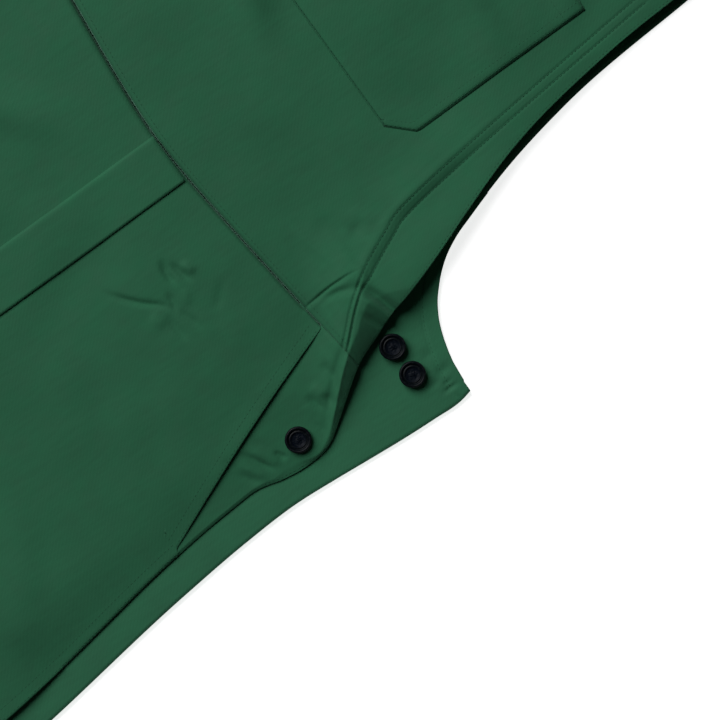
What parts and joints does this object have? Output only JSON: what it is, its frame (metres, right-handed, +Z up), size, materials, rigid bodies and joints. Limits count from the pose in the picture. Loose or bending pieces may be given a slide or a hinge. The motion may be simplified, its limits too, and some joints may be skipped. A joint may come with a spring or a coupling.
{
  "type": "bib-and-brace overalls",
  "caption": "Twill bib-and-brace work overalls laid flat face up, with one hip opening unbuttoned to show its button stand and tack buttons.",
  "frame": {"origin": "middle of the bounding box's base, on the surface the garment lies on", "axes": "+Z up from the surface, +Y up the garment towards the bib and straps, +X towards the wearer's left, where the hip opening is unbuttoned"},
  "size_m": [0.612, 1.5806, 0.0171],
  "materials": {
    "twill": "matte green cotton twill",
    "strap": "matte green strap of folded twill",
    "button": "black lacquered metal, satin",
    "buckle": "black lacquered metal, satin",
    "tack": "plain steel"
  },
  "bodies": {
    "garment": {"back_bib": "twill", "back_leg_left": "twill", "back_leg_right": "twill", "bib_panel": "twill", "bib_pocket": "twill", "bib_tack_left": "tack", "bib_tack_right": "tack", "fly_placket": "twill", "front_leg_left": "twill", "front_leg_right": "twill", "hip_tack_left": "tack", "hip_tack_right": "tack", "inseam_left": "twill", "inseam_right": "twill", "pocket_bag_left": "twill", "pocket_bag_right": "twill", "side_extension_left": "twill", "side_extension_right": "twill", "side_fold_left": "twill", "side_fold_right": "twill", "side_panel_left": "twill", "side_panel_right": "twill", "side_seam_left": "twill", "side_seam_right": "twill", "strap_left": "strap", "strap_right": "strap", "strap_slider_left": "buckle", "strap_slider_right": "buckle", "waist_flap_right": "twill", "waist_tack_inner_left": "tack", "waist_tack_inner_right": "tack", "waist_tack_outer_left": "tack", "waist_tack_outer_right": "tack"},
    "bib_button_left": {"bib_button_left": "button"},
    "bib_button_right": {"bib_button_right": "button"},
    "hip_button_left": {"hip_button_left": "button"},
    "hip_button_right": {"hip_button_right": "button"},
    "waist_button_inner_left": {"waist_button_inner_left": "button"},
    "waist_button_inner_right": {"waist_button_inner_right": "button"},
    "waist_button_outer_left": {"waist_button_outer_left": "button"},
    "waist_button_outer_right": {"waist_button_outer_right": "button"},
    "strap_hook_left": {"strap_hook_left": "buckle"},
    "strap_hook_right": {"strap_hook_right": "buckle"},
    "waist_flap_left": {"waist_flap_left": "twill"}
  },
  "joints": [
    {"name": "waist_flap_left_fold", "type": "hinge", "parent": "garment", "child": "waist_flap_left", "pos_m": [0.154, 0.26965, 0.0098], "axis": [0, -1, 0], "range_deg": [0, 75]},
    {"name": "strap_hook_left_swing", "type": "hinge", "parent": "garment", "child": "strap_hook_left", "pos_m": [0.09535, 0.56956, 0.0134], "axis": [-0.9976, -0.0698, 0], "range_deg": [0, 100]},
    {"name": "strap_hook_right_swing", "type": "hinge", "parent": "garment", "child": "strap_hook_right", "pos_m": [-0.09535, 0.56956, 0.0134], "axis": [-0.9976, 0.0698, 0], "range_deg": [0, 100]},
    {"name": "bib_button_left_turn", "type": "hinge", "parent": "garment", "child": "bib_button_left", "pos_m": [0.098, 0.53165, 0.0095], "axis": [0, 0, 1], "continuous": true},
    {"name": "bib_button_right_turn", "type": "hinge", "parent": "garment", "child": "bib_button_right", "pos_m": [-0.098, 0.53165, 0.0095], "axis": [0, 0, 1], "continuous": true},
    {"name": "hip_button_left_turn", "type": "hinge", "parent": "garment", "child": "hip_button_left", "pos_m": [0.21105, 0.16015, 0.0095], "axis": [0, 0, 1], "continuous": true},
    {"name": "hip_button_right_turn", "type": "hinge", "parent": "garment", "child": "hip_button_right", "pos_m": [-0.21105, 0.16015, 0.0095], "axis": [0, 0, 1], "continuous": true},
    {"name": "waist_button_inner_left_turn", "type": "hinge", "parent": "garment", "child": "waist_button_inner_left", "pos_m": [0.19835, 0.24515, 0.0095], "axis": [0, 0, 1], "continuous": true},
    {"name": "waist_button_inner_right_turn", "type": "hinge", "parent": "garment", "child": "waist_button_inner_right", "pos_m": [-0.19835, 0.24515, 0.0095], "axis": [0, 0, 1], "continuous": true},
    {"name": "waist_button_outer_left_turn", "type": "hinge", "parent": "garment", "child": "waist_button_outer_left", "pos_m": [0.22035, 0.24515, 0.0095], "axis": [0, 0, 1], "continuous": true},
    {"name": "waist_button_outer_right_turn", "type": "hinge", "parent": "garment", "child": "waist_button_outer_right", "pos_m": [-0.22035, 0.24515, 0.0095], "axis": [0, 0, 1], "continuous": true}
  ]
}
